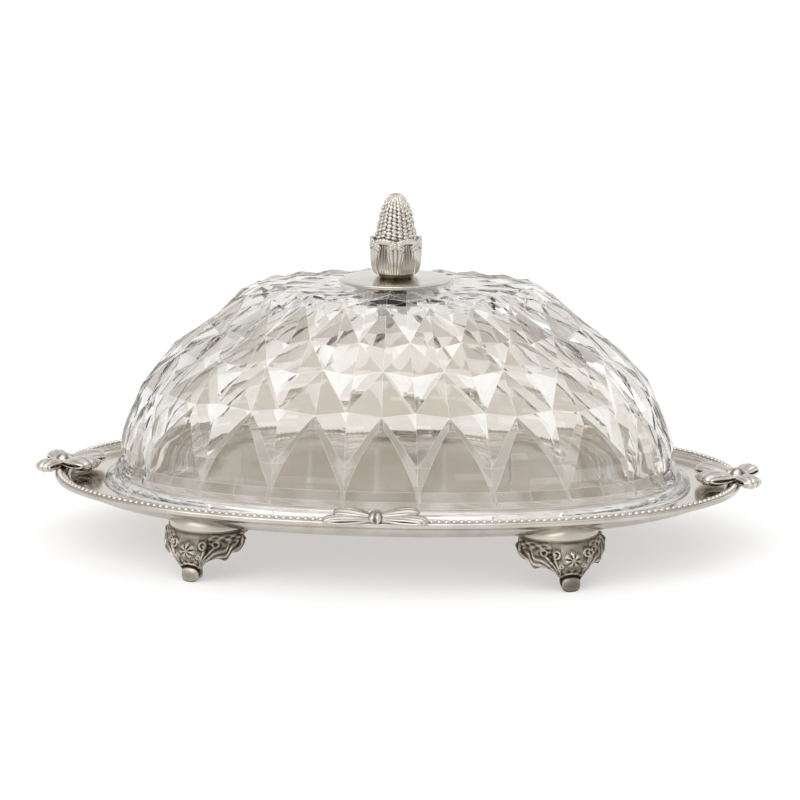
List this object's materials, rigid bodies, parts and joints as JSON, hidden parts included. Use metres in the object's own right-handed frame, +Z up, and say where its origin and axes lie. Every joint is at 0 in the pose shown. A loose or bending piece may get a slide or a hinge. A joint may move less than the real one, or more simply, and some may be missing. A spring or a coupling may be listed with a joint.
{
  "type": "cheese dome",
  "caption": "Oval pressed-glass cheese dome with a diamond pattern and a cone finial, on a footed plated tray with a beaded rim and ribbon bows.",
  "frame": {"origin": "on the table under the middle of the tray", "axes": "+X along the tray's length, +Z up, -Y is the front"},
  "size_m": [0.406, 0.249, 0.1971],
  "materials": {
    "plated_tray": "nickel plated over cast aluminium, mirror polished",
    "plated_trim": "nickel plated casting, bright with dark recesses",
    "antique_foot": "cast, plated and antiqued, bright on the high spots",
    "clear_glass": "clear pressed glass with soft-edged facets",
    "steel": "bright zinc-plated steel",
    "seal": "translucent soft seal"
  },
  "bodies": {
    "footed_tray": {"tray": "plated_tray", "bead_border_front_right": "plated_trim", "bead_border_back_right": "plated_trim", "bead_border_back_left": "plated_trim", "bead_border_front_left": "plated_trim", "bow_front": "plated_trim", "bow_right": "plated_trim", "bow_back": "plated_trim", "bow_left": "plated_trim", "collar_front_right": "plated_tray", "collar_back_right": "plated_tray", "collar_back_left": "plated_tray", "collar_front_left": "plated_tray", "foot_front_right": "antique_foot", "foot_back_right": "antique_foot", "foot_back_left": "antique_foot", "foot_front_left": "antique_foot", "foot_screws": "steel"},
    "dome": {"glass_dome": "clear_glass", "finial_plate": "plated_tray", "finial": "plated_trim", "finial_stud": "steel", "upper_gasket": "seal", "lower_gasket": "seal", "stud_washer": "steel", "cap_nut": "steel"}
  },
  "joints": [
    {"name": "dome_lift", "type": "slide", "parent": "footed_tray", "child": "dome", "axis": [0, 0, 1], "range_m": [0, 0.2]}
  ]
}
